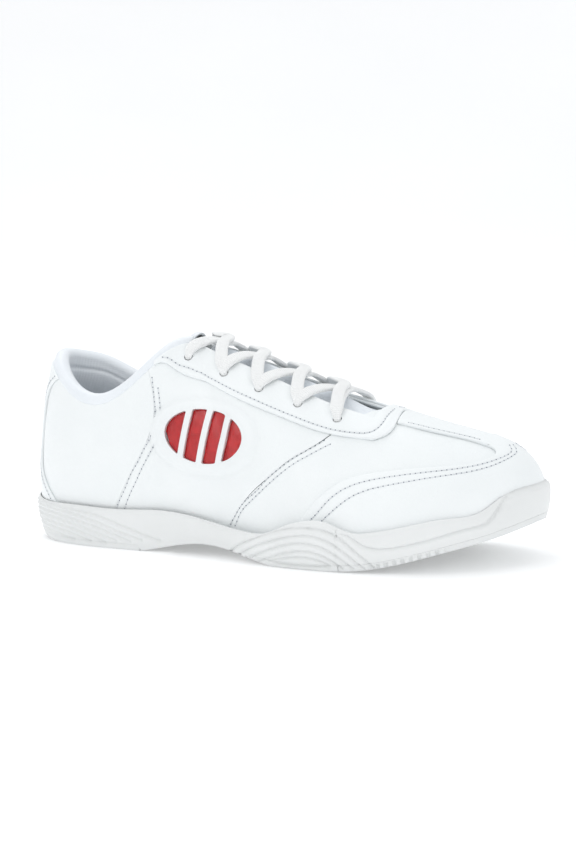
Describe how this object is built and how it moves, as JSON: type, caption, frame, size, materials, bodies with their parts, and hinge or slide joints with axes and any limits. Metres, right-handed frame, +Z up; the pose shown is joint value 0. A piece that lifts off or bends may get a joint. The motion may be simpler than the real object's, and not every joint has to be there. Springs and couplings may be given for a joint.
{
  "type": "cheer shoe",
  "caption": "Low white lace-up cheer shoe for a right foot: padded collar, stitched leather upper, oval colour window, cup sole with toe rand.",
  "frame": {"origin": "on the ground under the middle of the shoe's bounding box", "axes": "+X from heel to toe, +Y to the inner (medial) side, +Z up from the ground"},
  "size_m": [0.2594, 0.0963, 0.0998],
  "materials": {
    "foam_sole": "matt moulded foam, fine satin skin",
    "rubber_sole": "matt moulded rubber",
    "toe_rubber": "matt moulded rubber",
    "board": "pressed fibre board",
    "shank": "glass-filled nylon",
    "insole": "knitted cover on foam",
    "stiffener": "thermoplastic sheet",
    "leather": "coated white leather, fine grain",
    "overlay": "coated white leather, smooth",
    "lining": "knitted textile",
    "collar": "satin-faced textile, padded",
    "padding": "polyurethane foam",
    "tongue": "air mesh with satin edge",
    "lace": "flat woven polyester",
    "card": "glossy colour card",
    "film": "clear film"
  },
  "bodies": {
    "root": {"midsole": "foam_sole", "outsole_heel": "rubber_sole", "outsole_ball": "rubber_sole", "shank": "shank", "strobel_board": "board", "sockliner": "insole", "heel_counter": "stiffener", "heel_quarter_lateral": "leather", "heel_quarter_medial": "leather", "quarter_lateral": "leather", "quarter_medial": "leather", "eyestay": "overlay", "backstay": "overlay", "window_film": "film", "colour_card": "card", "quarter_lining_lateral": "lining", "quarter_lining_medial": "lining", "collar_foam": "padding", "collar_lining": "collar", "lace": "lace"},
    "forefoot": {"outsole_toe": "rubber_sole", "toe_rand": "toe_rubber", "toe_puff": "stiffener", "toe_overlay": "overlay", "vamp_lining": "lining", "vamp_lateral": "leather", "vamp_medial": "leather"},
    "tongue": {"tongue_cover": "tongue", "tongue_foam": "padding", "tongue_lining": "lining"}
  },
  "joints": [
    {"name": "toe_flex", "type": "hinge", "parent": "root", "child": "forefoot", "pos_m": [0.05276, 0.00077, 0.003], "axis": [0, -1, 0], "range_deg": [0, 25], "stiffness_Nm_per_rad": 1.2, "deforming": ["midsole", "strobel_board", "sockliner", "toe_overlay", "vamp_lateral", "vamp_medial", "vamp_lining", "quarter_lining_lateral", "quarter_lining_medial", "eyestay"]},
    {"name": "tongue_hinge", "type": "hinge", "parent": "root", "child": "tongue", "pos_m": [0.06676, 0.00077, 0.056], "axis": [0, 1, 0], "range_deg": [-8, 0], "stiffness_Nm_per_rad": 0.25}
  ]
}
